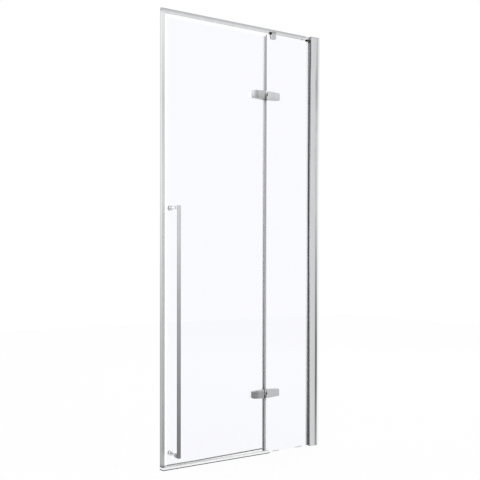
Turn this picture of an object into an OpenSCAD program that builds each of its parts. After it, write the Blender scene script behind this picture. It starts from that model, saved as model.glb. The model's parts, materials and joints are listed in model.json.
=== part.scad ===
// Hinged shower door with an in-line fixed pane, for a recess between two walls.
// X runs along the opening, to the right as seen from outside. Y runs into the shower. Z is up.
// The origin lies on the tray, midway between the walls, in the middle of the glass.

/* [Opening] */
// Width between the two walls
opening_w = 880; // [780:1:1100]
// Height from the tray to the top of the header
overall_h = 2000; // [1850:1:2200]
// From the right-hand wall to the hinge axis
fixed_side_w = 328; // [290:1:360]

/* [Glass] */
// Thickness of both panes
glass_t = 6; // [5:0.5:8]
// Gap between the header and the top of the door pane, which leaves room for the lift
door_top_gap = 18; // [14:0.5:26]
// Gap between the header and the top of the fixed pane
fixed_top_gap = 8; // [5:0.5:12]
// Height of the door pane's lower edge over the tray
door_foot_gap = 18; // [16:0.5:24]
// How far the door pane reaches past the hinge axis
door_edge_past_axis = 0.5; // [0.5:0.1:1.5]
// How far the fixed pane stays back from the hinge axis
fixed_edge_past_axis = 15; // [13:0.5:20]
// How deep the fixed pane sits in its profile
fixed_glass_bite = 14; // [10:0.5:15]

/* [Header] */
// Height of the header tube
header_h = 20; // [16:0.5:26]
// Depth of the header tube
header_d = 16; // [14:0.5:24]
// Wall of the header tube
header_wall = 1.6; // [1.2:0.1:2.2]
// Radius of the header's long edges
header_edge_r = 4; // [2:0.5:5.5]
// Length of the arched connector at the fixed end
connector_len = 24.5; // [20:0.5:32]
// Rise of the arch under the connector
connector_arch = 6; // [3:0.5:9]
// From the end of the header tube to its screw
header_screw_in = 20; // [10:0.5:22]
// Thickness of the wall bracket's plate at the closing end
bracket_plate_t = 3; // [2:0.5:5]
// Length of the spigots that hold the header tube
spigot_len = 26; // [24:1:34]

/* [Header clamp] */
// From the hinge axis to the near side of the clamp
clamp_from_axis = 40.5; // [34:0.5:90]
// Width of the clamp
clamp_w = 26; // [22:0.5:36]
// Thickness of the clamp's cheeks
clamp_cheek_t = 2; // [1.5:0.5:4]
// Height of the clamp under the header
clamp_h = 23.5; // [21:0.5:32]
// Slope cut from the clamp's upper near corner
clamp_shoulder = 9; // [3:0.5:10]
// How far the clamp's cheeks reach up beside the header
clamp_cheek = 11; // [6:0.5:15]
// Thickness of the clamp's rubber lining
clamp_lining_t = 1; // [0.8:0.1:1.5]

/* [Fixed-side profiles] */
// Depth of the wall profile, from outside to inside
wall_profile_d = 38; // [34:0.5:46]
// How far the wall profile stands off the wall
wall_profile_w = 20; // [16:0.5:26]
// Wall of both fixed-side extrusions
profile_t = 1.5; // [1.2:0.1:2]
// How far the glass profile reaches from the wall
glass_profile_reach = 54.5; // [48:0.5:62]
// How far the glass profile overlaps the wall profile
profile_overlap = 12; // [10:0.5:14]
// Sliding clearance between the two profiles
profile_slip = 0.2; // [0.1:0.05:0.4]
// Width of the rubber strips that wedge the pane in its profile
glazing_t = 2.5; // [2:0.1:3]
// Height of the blocks under the fixed pane
setting_block_h = 3; // [2:0.5:5]
// Thickness of the cap on top of the profiles
top_cap_t = 3; // [2:0.5:5]
// Bore of the wall screw holes
wall_screw_bore = 5; // [4:0.1:6]
// Height of the lower wall screw holes
wall_screw_low = 250; // [150:5:400]
// From the top of the enclosure down to the upper wall screw holes
wall_screw_top = 250; // [150:5:400]
// Radius of the screws that lock the adjustment
lock_screw_r = 2; // [1.5:0.1:2.5]

/* [Closing profile] */
// How far the closing profile stands off the wall
closing_w = 14; // [12:0.5:20]
// Depth of the closing profile
closing_d = 18; // [16:0.5:24]
// Wall of the closing profile
closing_t = 1.6; // [1.2:0.1:2]
// Reach of the lips that hold the striking seal
closing_lip = 1.6; // [1:0.1:2.2]
// How far the striking seal stands out of the profile
strike_reach = 4; // [3:0.5:6]
// Gap between the two magnetic faces
magnet_gap = 0.6; // [0.5:0.05:1]

/* [Threshold] */
// Height of the threshold
threshold_h = 12; // [6:0.5:12.5]
// How far the threshold reaches out from the middle of the glass
threshold_out = 22; // [16:0.5:26]
// How far the threshold reaches in from the middle of the glass
threshold_in = 10; // [10:0.5:20]
// Height and depth of the groove under its outer edge
threshold_groove = 2.5; // [1:0.25:3]
// Height of the threshold's inner edge
threshold_back_h = 6; // [3:0.5:6]
// Length of the end cap round the fixed pane
threshold_cap_len = 12.5; // [10:0.5:16]
// How far the end cap reaches past the edge of the fixed pane
threshold_cap_lap = 9.5; // [6:0.5:12]
// Width of the end piece at the closing side
threshold_wall_cap_len = 5; // [3:0.5:8]

/* [Hinges] */
// Height of the lower hinge's middle
hinge_low_z = 283; // [220:1:400]
// From the top of the door pane down to the upper hinge's middle
hinge_top_gap = 279; // [220:1:400]
// Distance of the hinge axis in front of the middle of the glass
hinge_axis_out = 12; // [12:0.1:14]
// Height of a leaf beside the hinge axis
leaf_h = 42; // [40:0.5:52]
// Height of a leaf at its far end
leaf_end_h = 34; // [28:0.5:40]
// Thickness of a leaf
leaf_t = 17; // [16:0.5:20]
// Length of a door leaf
door_leaf_len = 63; // [58:0.5:76]
// Length of a fixed leaf
fixed_leaf_len = 71; // [60:0.5:80]
// Corner radius at the far end of a leaf
leaf_corner_r = 6; // [3:0.5:10]
// Corner radius beside the hinge axis
leaf_inner_r = 1.5; // [1:0.25:3]
// Thickness of the gasket between leaf and glass
leaf_gasket_t = 1; // [0.5:0.1:1.5]
// Radius of the knuckles
knuckle_r = 8.5; // [8:0.1:8.7]
// Gap between a leaf and the other leaf's knuckle
knuckle_gap = 0.8; // [0.5:0.1:1.2]
// Height of both knuckles together with the cams
barrel_h = 38; // [36:0.5:44]
// Radius of the spindles
spindle_r = 4; // [3.5:0.1:4.5]
// Radial running clearance of a spindle in its bush
spindle_fit = 0.05; // [0.02:0.01:0.09]
// Wall of the bush round the spindle
bush_t = 1.5; // [1:0.1:2]
// Width across the flats of the spindle's drive
drive_flats = 6.8; // [5.8:0.1:6.9]
// Clearance on each side of the drive
drive_slip = 0.1; // [0.05:0.01:0.2]
// Rise of the door over its full swing
lift = 6; // [4:0.5:8]
// Thickness of the plain part of a cam
cam_base = 2; // [1.5:0.1:3]
// Gap between the two helical faces
cam_gap = 0.3; // [0.2:0.05:0.5]
// Distance between the fixings in a leaf
fixing_pitch = 30; // [24:0.5:36]
// Radius of a fixing's shank
fixing_r = 4; // [3:0.1:5]
// Radius of a glass hole at the outer face of the pane
fixing_hole_r = 7.5; // [7:0.1:8]
// Radius of a glass hole at the inner face of the pane
fixing_mouth_r = 10.5; // [9.5:0.1:12]
// Wall of the plastic sleeve in a glass hole
sleeve_t = 1; // [0.8:0.1:1.3]

/* [Handle] */
// From the lower edge of the pane up to the lower end of the handle
handle_foot_gap = 42; // [30:1:400]
// Overall height of the handle
handle_len = 1086; // [800:1:1150]
// Side of the square bar
handle_side = 13; // [11:0.5:16]
// From the middle of the glass to the middle of the bar
handle_out = 74; // [62:0.5:82]
// From the free edge of the pane to the handle
handle_from_edge = 20; // [20:0.5:60]
// Height of the block that carries the bar
handle_block_h = 17; // [14:0.5:20]
// Length of that block
handle_block_len = 22; // [14:0.5:28]
// Radius of the round neck
handle_neck_r = 5; // [4:0.1:6]
// Radius of the rosettes
rosette_r = 11; // [9:0.1:12]
// Thickness of the rosettes
rosette_t = 5; // [3:0.5:8]
// Thickness of the clear washers on both faces of the pane
washer_t = 1; // [0.5:0.1:1.5]
// Radius of the bolts
bolt_r = 3; // [2.5:0.1:3.5]
// Radius of the handle holes in the pane
handle_hole_r = 6; // [5:0.1:7]
// Thickness of the caps inside
cap_t = 6; // [5.5:0.5:8]

/* [Door seals] */
// Length of the seal legs on the faces of the pane
seal_leg = 8; // [6:0.5:8.5]
// Thickness of the seal legs
seal_t = 1; // [0.8:0.1:1.4]
// Clearance of a seal on the glass
seal_fit = 0.05; // [0.02:0.01:0.15]
// Depth of the foot of the drip seal under the pane
drip_foot_h = 5; // [4:0.5:6]
// Length of the hinge seal's leg on the inner face of the pane
hinge_seal_leg = 5; // [4:0.5:8]

/* [Hidden] */
$fn = 48;

// Small working values
eps = 0.01;
touch = 0.1;
near = 0.3;
cut = 1;

// Heights
header_z = overall_h - header_h;
door_top = header_z - door_top_gap;
door_foot = door_foot_gap;
fixed_top = header_z - fixed_top_gap;
hinge_heights = [hinge_low_z, door_top - hinge_top_gap];
wall_screw_heights = [wall_screw_low, overall_h - wall_screw_top];

// Places along the opening
wall_x = opening_w / 2;
closing_x = -opening_w / 2;
axis_x = wall_x - fixed_side_w;
axis_y = -hinge_axis_out;
profile_face_x = wall_x - glass_profile_reach;
fixed_edge = axis_x + fixed_edge_past_axis;
door_edge = axis_x + door_edge_past_axis;
closing_face = closing_x + closing_w;
strike_face = closing_face + strike_reach;
seal_face = strike_face + magnet_gap;
seal_head = 7.4;
door_free_edge = seal_face + seal_head;
half_glass = glass_t / 2;

// Depths of the hinge leaves
leaf_back = -half_glass - leaf_gasket_t;
leaf_front = leaf_back - leaf_t;
leaf_gap = knuckle_r + knuckle_gap;

// Extrusions along the three directions
module along_x(x0, x1) {
    translate([x0, 0, 0])
        rotate([90, 0, 90])
            linear_extrude(x1 - x0)
                children();
}
module along_y(y0, y1) {
    translate([0, y1, 0])
        rotate([90, 0, 0])
            linear_extrude(y1 - y0)
                children();
}
module along_z(z0, z1) {
    translate([0, 0, z0])
        linear_extrude(z1 - z0)
            children();
}

// Rounds and cones along Y, from the inner end y1 towards the outside at y0
module rod_y(y0, y1, r) {
    cone_y(y0, y1, r, r);
}
module cone_y(y0, y1, r_outside, r_inside) {
    translate([0, y1, 0])
        rotate([90, 0, 0])
            cylinder(h = y1 - y0, r1 = r_inside, r2 = r_outside);
}
module rod_x(x0, x1, r) {
    translate([x0, 0, 0])
        rotate([0, 90, 0])
            cylinder(h = x1 - x0, r = r);
}

// Flat shape between two corners
module area(x0, x1, y0, y1) {
    translate([x0, y0])
        square([x1 - x0, y1 - y0]);
}
module box(x0, x1, y0, y1, z0, z1) {
    translate([x0, y0, z0])
        cube([x1 - x0, y1 - y0, z1 - z0]);
}

// Rectangle with true round corners, centred
module round_area(w, h, r) {
    square([w - 2 * r, h], center = true);
    square([w, h - 2 * r], center = true);
    for (sx = [-1, 1], sy = [-1, 1])
        translate([sx * (w / 2 - r), sy * (h / 2 - r)])
            circle(r);
}

// Fixed-side profiles
wall_profile_top = overall_h - top_cap_t;
glass_profile_half = wall_profile_d / 2 - profile_t - profile_slip;
glass_profile_end = wall_x - wall_profile_w + profile_overlap;
pocket_half = half_glass + glazing_t;
pocket_floor = profile_face_x + fixed_glass_bite + cut;
lock_x = wall_x - wall_profile_w + profile_overlap / 2;
lock_from_screw = 60;
lock_screw_len = 8;
lock_screw_head_t = 1.8;
top_cap_plug = 13;
lock_heights = [wall_screw_heights[0] + lock_from_screw, overall_h / 2,
    wall_screw_heights[1] - lock_from_screw];

module wall_profile() {
    color("silver")
        difference() {
            along_z(0, wall_profile_top)
                difference() {
                    area(wall_x - wall_profile_w, wall_x, -wall_profile_d / 2, wall_profile_d / 2);
                    area(wall_x - wall_profile_w - cut, wall_x - profile_t,
                        -wall_profile_d / 2 + profile_t, wall_profile_d / 2 - profile_t);
                }
            for (z = wall_screw_heights)
                translate([0, 0, z])
                    rod_x(wall_x - profile_t - cut, wall_x + cut, wall_screw_bore / 2);
            for (z = lock_heights)
                translate([lock_x, 0, z])
                    rod_y(glass_profile_half, wall_profile_d / 2 + cut, lock_screw_r + touch);
        }
}

module glass_profile() {
    color("gainsboro")
        difference() {
            along_z(0, wall_profile_top)
                difference() {
                    area(profile_face_x, glass_profile_end, -glass_profile_half, glass_profile_half);
                    area(profile_face_x - cut, pocket_floor, -pocket_half, pocket_half);
                    for (side = [-1, 1])
                        scale([1, side])
                            area(profile_face_x + profile_t, pocket_floor,
                                pocket_half + profile_t, glass_profile_half - profile_t);
                    area(pocket_floor + profile_t, glass_profile_end + cut,
                        -glass_profile_half + profile_t, glass_profile_half - profile_t);
                }
            for (z = lock_heights)
                translate([lock_x, 0, z])
                    rod_y(0, wall_profile_d / 2, lock_screw_r + touch);
        }
}

module profile_top_cap() {
    color("lightgray") {
        box(profile_face_x, wall_x, -wall_profile_d / 2, wall_profile_d / 2,
            wall_profile_top, overall_h);
        box(pocket_floor + profile_t + near, glass_profile_end - profile_t,
            -glass_profile_half + profile_t + near, glass_profile_half - profile_t - near,
            wall_profile_top - top_cap_plug, wall_profile_top + eps);
    }
}

module profile_lock_screws() {
    color("gray")
        for (z = lock_heights)
            translate([lock_x, 0, z]) {
                rod_y(wall_profile_d / 2 - lock_screw_len, wall_profile_d / 2 + eps, lock_screw_r);
                cone_y(wall_profile_d / 2, wall_profile_d / 2 + lock_screw_head_t,
                    lock_screw_r * 2, lock_screw_r * 1.3);
            }
}

// Fixed pane
glazing_lip = 2;
glazing_lip_t = 1;
glazing_back = 3;
setting_block_in = 60;
setting_block_len = 40;

module fixed_glass() {
    color("lightcyan", 0.4)
        difference() {
            box(fixed_edge, profile_face_x + fixed_glass_bite, -half_glass, half_glass,
                setting_block_h, fixed_top);
            for (z = hinge_heights)
                fixings(z, 1)
                    cone_y(-half_glass - eps, half_glass + eps, fixing_hole_r, fixing_mouth_r);
        }
}

module glazing_strips() {
    color("dimgray")
        for (side = [-1, 1])
            scale([1, side, 1])
                along_z(setting_block_h, fixed_top - glazing_lip_t)
                    union() {
                        area(profile_face_x - glazing_lip_t, profile_face_x + fixed_glass_bite - glazing_back,
                            half_glass, half_glass + glazing_t - eps);
                        area(profile_face_x - glazing_lip_t, profile_face_x - eps,
                            half_glass, half_glass + glazing_t + glazing_lip);
                    }
}

module setting_blocks() {
    color("black")
        for (x = [fixed_edge + setting_block_in, profile_face_x - setting_block_in])
            box(x - setting_block_len / 2, x + setting_block_len / 2,
                -half_glass, half_glass, 0, setting_block_h);
}

// Header
header_mid = overall_h - header_h / 2;
header_end = profile_face_x - connector_len;
spigot_t = 1.6;
least_edge_r = 0.5;
clamp_x0 = axis_x + clamp_from_axis;
clamp_mid = clamp_x0 + clamp_w / 2;
clamp_screw_r = 2.5;
clamp_screw_slack = 0.3;
clamp_screw_past = 4;
clamp_screw_head_r = 3.6;
header_screw_r = 2;
header_screw_len = 6;
header_screw_head_t = 1.6;
header_screw_places = [closing_x + bracket_plate_t + header_screw_in, header_end - header_screw_in];

module header_section(inset) {
    translate([0, header_mid])
        round_area(header_d - 2 * inset, header_h - 2 * inset,
            max(header_edge_r - inset, least_edge_r));
}

module header_bar() {
    color("silver")
        difference() {
            along_x(closing_x + bracket_plate_t, header_end)
                difference() {
                    header_section(0);
                    header_section(header_wall);
                }
            translate([clamp_mid, 0, header_z - cut])
                cylinder(h = header_wall + 2 * cut, r = clamp_screw_r + clamp_screw_slack);
            for (x = header_screw_places)
                translate([x, 0, header_z])
                    header_screw_bore();
        }
}

module spigot() {
    difference() {
        header_section(header_wall + touch);
        header_section(header_wall + touch + spigot_t);
    }
}

module header_wall_bracket() {
    color("silver")
        difference() {
            union() {
                along_x(closing_x, closing_x + bracket_plate_t)
                    header_section(0);
                along_x(closing_x + bracket_plate_t - eps, closing_x + bracket_plate_t + spigot_len)
                    spigot();
            }
            translate([0, 0, header_mid])
                rod_x(closing_x - cut, closing_x + bracket_plate_t + cut, wall_screw_bore / 2);
            translate([header_screw_places[0], 0, header_z])
                header_screw_bore();
        }
}

// Tapping screws from below hold the header tube on its spigots
module header_screw_bore() {
    translate([0, 0, -cut])
        cylinder(h = header_screw_len + 2 * cut, r = header_screw_r + touch);
}
module small_tapping_screw() {
    cylinder(h = header_screw_len, r = header_screw_r);
    translate([0, 0, -header_screw_head_t])
        cylinder(h = header_screw_head_t + eps, r1 = header_screw_r * 1.3, r2 = header_screw_r * 1.9);
}

module header_bracket_screw() {
    color("gray")
        translate([header_screw_places[0], 0, header_z - eps])
            small_tapping_screw();
}

// The connector arches from the header down to the face of the glass profile
arch_r = (connector_len * connector_len / 4 + connector_arch * connector_arch) / (2 * connector_arch);
module header_connector() {
    color("whitesmoke")
        difference() {
            union() {
                along_x(header_end, profile_face_x)
                    header_section(0);
                along_x(header_end - spigot_len, header_end + eps)
                    spigot();
            }
            arch_round(arch_r);
            translate([header_screw_places[1], 0, header_z])
                header_screw_bore();
        }
}

module arch_round(r) {
    translate([header_end + connector_len / 2, 0, header_z + connector_arch - arch_r])
        rod_y(-header_d, header_d, r);
}

module header_connector_screw() {
    color("gray")
        translate([header_screw_places[1], 0, header_z - eps])
            small_tapping_screw();
}

// The black pad fills the arch and rests on the top edge of the fixed pane
module connector_pad() {
    color("black")
        intersection() {
            box(header_end + near, profile_face_x - near, -header_d / 2 + touch, header_d / 2 - touch,
                fixed_top, overall_h);
            union() {
                arch_round(arch_r - touch);
                box(header_end, profile_face_x, -header_d, header_d, fixed_top, header_z);
            }
        }
}

// Header clamp
clamp_slot = half_glass + clamp_lining_t;
clamp_floor = fixed_top + clamp_lining_t;
clamp_half = header_d / 2 + clamp_cheek_t;
clamp_top = header_z + clamp_cheek;

module header_clamp() {
    color("lightgray")
        difference() {
            along_y(-clamp_half, clamp_half)
                polygon([
                    [clamp_x0, header_z - clamp_h],
                    [clamp_x0 + clamp_w, header_z - clamp_h],
                    [clamp_x0 + clamp_w, clamp_top],
                    [clamp_x0 + clamp_shoulder, clamp_top],
                    [clamp_x0, clamp_top - clamp_shoulder]
                ]);
            box(clamp_x0 - cut, clamp_x0 + clamp_w + cut, -header_d / 2 - touch, header_d / 2 + touch,
                header_z, clamp_top + cut);
            box(clamp_x0 - cut, clamp_x0 + clamp_w + cut, -clamp_slot, clamp_slot,
                header_z - clamp_h - cut, clamp_floor);
            translate([clamp_mid, 0, clamp_floor - cut])
                cylinder(h = clamp_h, r = clamp_screw_r + clamp_screw_slack);
            for (x = clamp_grub_places)
                translate([x, 0, clamp_grub_z])
                    rod_y(0, clamp_half + cut, grub_r + touch);
        }
}

module header_clamp_lining() {
    color("dimgray")
        difference() {
            box(clamp_x0 + touch, clamp_x0 + clamp_w - touch, -clamp_slot, clamp_slot,
                header_z - clamp_h + touch, clamp_floor);
            box(clamp_x0 - cut, clamp_x0 + clamp_w + cut, -half_glass, half_glass,
                header_z - clamp_h - cut, fixed_top);
            translate([clamp_mid, 0, fixed_top - cut])
                cylinder(h = 3 * cut, r = clamp_screw_head_r + touch);
        }
}

module header_clamp_screw() {
    color("gray")
        translate([clamp_mid, 0, clamp_floor - clamp_lining_t + touch]) {
            cylinder(h = clamp_lining_t - 2 * touch, r = clamp_screw_head_r);
            cylinder(h = header_z - clamp_floor + header_wall + clamp_screw_past, r = clamp_screw_r);
        }
}

grub_r = 2.5;
grub_inset = 0.5;
key_depth = 3;
clamp_grub_pitch = 10.4;
clamp_grub_up = 8;
clamp_grub_places = [clamp_mid - clamp_grub_pitch / 2, clamp_mid + clamp_grub_pitch / 2];
clamp_grub_z = header_z - clamp_h + clamp_grub_up;

module header_clamp_grubs() {
    color("gray")
        for (x = clamp_grub_places)
            translate([x, 0, clamp_grub_z])
                difference() {
                    rod_y(clamp_slot, clamp_half - grub_inset, grub_r);
                    translate([0, clamp_half, 0])
                        rotate([90, 0, 0])
                            cylinder(h = key_depth, r = grub_r * 0.6, $fn = 6);
                }
}

// Closing side
lip_x = closing_face - closing_t;
mouth_half = closing_d / 2 - closing_t - closing_lip;
anchor_slip = 0.2;
anchor_depth = 5;
anchor_wall = 1;
anchor_front = 1.6;
anchor_half = closing_d / 2 - closing_t - anchor_slip;
anchor_x = lip_x - anchor_depth;
magnet_half = 3.1;
magnet_t = 4.4;
magnet_skin = 0.8;
magnet_end = 1;

module closing_profile() {
    color("silver")
        difference() {
            along_z(threshold_h, header_z)
                difference() {
                    area(closing_x, closing_face, -closing_d / 2, closing_d / 2);
                    area(closing_x + closing_t, lip_x, -closing_d / 2 + closing_t, closing_d / 2 - closing_t);
                    area(lip_x - eps, closing_face + cut, -mouth_half, mouth_half);
                }
            for (z = wall_screw_heights)
                translate([0, 0, z])
                    rod_x(closing_x - cut, closing_x + closing_t + cut, wall_screw_bore / 2);
        }
}

module strike_seal() {
    color("white", 0.8)
        along_z(threshold_h + touch, header_z - touch)
            difference() {
                union() {
                    area(anchor_x, lip_x - touch, -anchor_half, anchor_half);
                    area(lip_x - anchor_slip, strike_face,
                        -mouth_half + anchor_slip, mouth_half - anchor_slip);
                }
                area(anchor_x - cut, lip_x - anchor_front,
                    -anchor_half + anchor_wall, anchor_half - anchor_wall);
                area(strike_face - magnet_skin - magnet_t - touch, strike_face - magnet_skin + touch,
                    -magnet_half - touch, magnet_half + touch);
            }
}

module strike_magnet() {
    color("dimgray")
        along_z(threshold_h + magnet_end, header_z - magnet_end)
            area(strike_face - magnet_skin - magnet_t, strike_face - magnet_skin,
                -magnet_half, magnet_half);
}

// Threshold
threshold_end = fixed_edge + threshold_cap_lap;
threshold_cap_x = threshold_end - threshold_cap_len;
threshold_bevel = 1.5;
sealant_groove_w = 4;
sealant_groove_h = 1.5;
threshold_section = [
    [threshold_groove - threshold_out, 0],
    [threshold_in, 0],
    [threshold_in, threshold_back_h],
    [threshold_in + threshold_back_h - threshold_h, threshold_h],
    [threshold_bevel - threshold_out, threshold_h],
    [-threshold_out, threshold_h - threshold_bevel],
    [-threshold_out, threshold_groove],
    [threshold_groove - threshold_out, threshold_groove]
];

module threshold() {
    color("silver")
        along_x(closing_x + threshold_wall_cap_len, threshold_cap_x)
            difference() {
                polygon(threshold_section);
                for (y = [-threshold_out / 2, threshold_in / 2])
                    area(y - sealant_groove_w / 2, y + sealant_groove_w / 2, -cut, sealant_groove_h);
            }
}

module threshold_end_cap() {
    color("darkgray")
        difference() {
            along_x(threshold_cap_x, threshold_end)
                polygon(threshold_section);
            box(fixed_edge - touch, threshold_end + cut, -half_glass - touch, half_glass + touch,
                -cut, threshold_h + cut);
        }
}

module threshold_wall_cap() {
    color("dimgray")
        along_x(closing_x, closing_x + threshold_wall_cap_len)
            polygon(threshold_section);
}

// Hinges
module at_hinge(z) {
    translate([axis_x, axis_y, z])
        children();
}
module both_hinges() {
    for (z = hinge_heights)
        at_hinge(z)
            children();
}

// Places of the two fixings in a leaf; side 1 is the fixed leaf and -1 the door leaf
function leaf_len(side) = side > 0 ? fixed_leaf_len : door_leaf_len;
function fixing_middle(side) = side * (leaf_gap + leaf_len(side) / 2 + 4);

module fixings(z, side) {
    for (k = [-1, 1])
        translate([axis_x + fixing_middle(side) + k * fixing_pitch / 2, 0, z])
            children();
}

// Outline of a leaf: it narrows away from the axis and has round corners
function unit(v) = v / norm(v);
function outward(a, b) = [unit(b - a)[1], -unit(b - a)[0]];
function inner_corner(a, b, c, r) =
    let (n1 = outward(a, b), n2 = outward(b, c), k = r / (1 + n1 * n2))
        b - k * (n1 + n2);

module round_outline(points, radii) {
    n = len(points);
    centres = [for (i = [0 : n - 1])
        inner_corner(points[(i + n - 1) % n], points[i], points[(i + 1) % n], radii[i])];
    polygon([for (i = [0 : n - 1], end = [0, 1])
        centres[i] + radii[i] * (end == 0
            ? outward(points[(i + n - 1) % n], points[i])
            : outward(points[i], points[(i + 1) % n]))]);
    for (i = [0 : n - 1])
        translate(centres[i])
            circle(radii[i]);
}

module leaf_outline(side, inset) {
    mirror([side > 0 ? 0 : 1, 0])
        round_outline([
            [leaf_gap + inset, -leaf_h / 2 + inset],
            [leaf_gap + leaf_len(side) - inset, -leaf_end_h / 2 + inset],
            [leaf_gap + leaf_len(side) - inset, leaf_end_h / 2 - inset],
            [leaf_gap + inset, leaf_h / 2 - inset]
        ], [leaf_inner_r, leaf_corner_r, leaf_corner_r, leaf_inner_r]);
}

// Heights inside a hinge, from its middle
cap_disc_t = (leaf_h - barrel_h) / 2;
cam_low = -lift / 2 - cam_base;
cam_high = lift / 2 + cam_gap + cam_base;
bush_r = spindle_r + spindle_fit + bush_t;
fixing_depth = 10;
gasket_inset = 0.5;
spindle_end = 1.5;

// A knuckle is round towards the other leaf and square towards its own
module knuckle(side, z0, z1) {
    translate([0, 0, z0])
        cylinder(h = z1 - z0, r = knuckle_r);
    mirror([side > 0 ? 0 : 1, 0, 0])
        box(0, leaf_gap + leaf_inner_r + cut, -knuckle_r, leaf_back - axis_y, z0, z1);
}

module leaf_block(side) {
    translate([0, -axis_y, 0])
        along_y(leaf_front, leaf_back)
            leaf_outline(side, 0);
}

module fixing_bores(side) {
    for (k = [-1, 1])
        translate([fixing_middle(side) + k * fixing_pitch / 2, -axis_y, 0])
            rod_y(leaf_back - fixing_depth - cut, leaf_back + cut, fixing_r + touch);
}

module fixed_leaf() {
    difference() {
        union() {
            leaf_block(1);
            knuckle(1, -barrel_h / 2, cam_low);
        }
        fixing_bores(1);
        translate([0, 0, -barrel_h / 2 - cut])
            cylinder(h = barrel_h, r = bush_r + eps);
    }
}

module door_leaf() {
    difference() {
        union() {
            leaf_block(-1);
            knuckle(-1, cam_high, barrel_h / 2);
        }
        fixing_bores(-1);
        translate([0, 0, cam_high - cut])
            cylinder(h = barrel_h, r = drive_r(drive_flats + 2 * drive_slip), $fn = 6);
    }
}
function drive_r(flats) = flats / 2 / cos(30);

module upper_fixed_leaf() {
    color("silver")
        at_hinge(hinge_heights[1])
            fixed_leaf();
}
module lower_fixed_leaf() {
    color("silver")
        at_hinge(hinge_heights[0])
            fixed_leaf();
}
module upper_door_leaf() {
    color("silver")
        at_hinge(hinge_heights[1])
            door_leaf();
}
module lower_door_leaf() {
    color("silver")
        at_hinge(hinge_heights[0])
            door_leaf();
}

module leaf_gasket(side) {
    difference() {
        translate([0, -axis_y, 0])
            along_y(leaf_back, -half_glass)
                intersection() {
                    leaf_outline(side, gasket_inset);
                    if (side > 0)
                        area(fixed_edge_past_axis + gasket_inset, leaf_gap + leaf_len(1), -leaf_h, leaf_h);
                    else
                        area(-leaf_gap - leaf_len(-1), -leaf_gap, -leaf_h, leaf_h);
                }
        for (k = [-1, 1])
            translate([fixing_middle(side) + k * fixing_pitch / 2, -axis_y, 0])
                rod_y(leaf_back - cut, cut, fixing_r + 2 * touch);
    }
}
module fixed_leaf_gaskets() {
    color("gray")
        both_hinges()
            leaf_gasket(1);
}
module door_leaf_gaskets() {
    color("gray")
        both_hinges()
            leaf_gasket(-1);
}

// Conical sleeve in a glass hole, and the countersunk plug that pulls the leaf against the pane
sleeve_fit = 0.1;
module sleeve() {
    difference() {
        cone_y(-half_glass, half_glass, fixing_hole_r - sleeve_fit, fixing_mouth_r - sleeve_fit);
        cone_y(-half_glass - eps, half_glass + eps,
            fixing_hole_r - sleeve_fit - sleeve_t, fixing_mouth_r - sleeve_fit - sleeve_t);
    }
}
module plug() {
    inset = 2 * sleeve_fit + sleeve_t;
    difference() {
        union() {
            cone_y(-half_glass, half_glass, fixing_hole_r - inset, fixing_mouth_r - inset);
            rod_y(leaf_back - fixing_depth, -half_glass + eps, fixing_r);
        }
        translate([0, half_glass + eps, 0])
            rotate([90, 0, 0])
                cylinder(h = key_depth, r = fixing_r * 0.7, $fn = 6);
    }
}
module fixed_leaf_sleeves() {
    color("white")
        for (z = hinge_heights)
            fixings(z, 1)
                sleeve();
}
module fixed_leaf_plugs() {
    color("silver")
        for (z = hinge_heights)
            fixings(z, 1)
                plug();
}
module door_leaf_sleeves() {
    color("white")
        for (z = hinge_heights)
            fixings(z, -1)
                sleeve();
}
module door_leaf_plugs() {
    color("silver")
        for (z = hinge_heights)
            fixings(z, -1)
                plug();
}

// Bush of the spindle in the fixed knuckle
module pivot_bushes() {
    color("white")
        both_hinges()
            translate([0, 0, -barrel_h / 2])
                difference() {
                    cylinder(h = cam_low + barrel_h / 2, r = bush_r);
                    translate([0, 0, -cut])
                        cylinder(h = barrel_h, r = spindle_r + spindle_fit);
                }
}

// Helical cams. Each has two lobes: a quarter turn of ramp, an eighth that stays high and an
// eighth that stays low. The door's cam is the same piece, turned over.
cam_r = knuckle_r - 0.2;
cam_bore = spindle_r + 0.4;
cam_steps = 12;
ramp_start = 190;
face_slack = 2;
drop_turn = 0.5;
cam_core_r = 1;
cam_blank_r = cam_r + 3;

// Turn and height of each station round the cam
cam_stations = [for (lobe = [0, 180])
    each concat(
        [for (i = [0 : cam_steps]) [lobe + 90 * i / cam_steps, lift * (i / cam_steps - 0.5)]],
        [[lobe + 135 - face_slack, lift / 2], [lobe + 135 - face_slack + drop_turn, -lift / 2]])];

function cam_ring(r) = [for (s = cam_stations) [r * cos(s[0]), r * sin(s[0]), s[1]]];
function cam_foot(r) = [for (s = cam_stations) [r * cos(s[0]), r * sin(s[0]), cam_low - cut]];

module cam_blank() {
    n = len(cam_stations);
    polyhedron(
        points = concat(cam_ring(cam_core_r), cam_ring(cam_blank_r),
            cam_foot(cam_core_r), cam_foot(cam_blank_r)),
        faces = [for (i = [0 : n - 1]) let (j = (i + 1) % n)
            each [
                [i, n + i, n + j], [i, n + j, j],
                [2 * n + i, 2 * n + j, 3 * n + j], [2 * n + i, 3 * n + j, 3 * n + i],
                [n + i, 3 * n + i, 3 * n + j], [n + i, 3 * n + j, n + j],
                [i, j, 2 * n + j], [i, 2 * n + j, 2 * n + i]
            ]],
        convexity = 6);
}

module cam() {
    intersection() {
        cam_blank();
        translate([0, 0, cam_low])
            difference() {
                cylinder(h = cam_base + lift + cut, r = cam_r);
                translate([0, 0, -cut])
                    cylinder(h = cam_base + lift + 3 * cut, r = cam_bore);
            }
    }
}

module fixed_cam() {
    rotate([0, 0, ramp_start])
        cam();
}

module door_cam() {
    translate([0, 0, cam_gap])
        rotate([0, 0, ramp_start + 90])
            rotate([180, 0, 0])
                cam();
}

module fixed_cams() {
    color("dimgray")
        both_hinges()
            fixed_cam();
}
module door_cams() {
    color("gray")
        both_hinges()
            door_cam();
}

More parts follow.
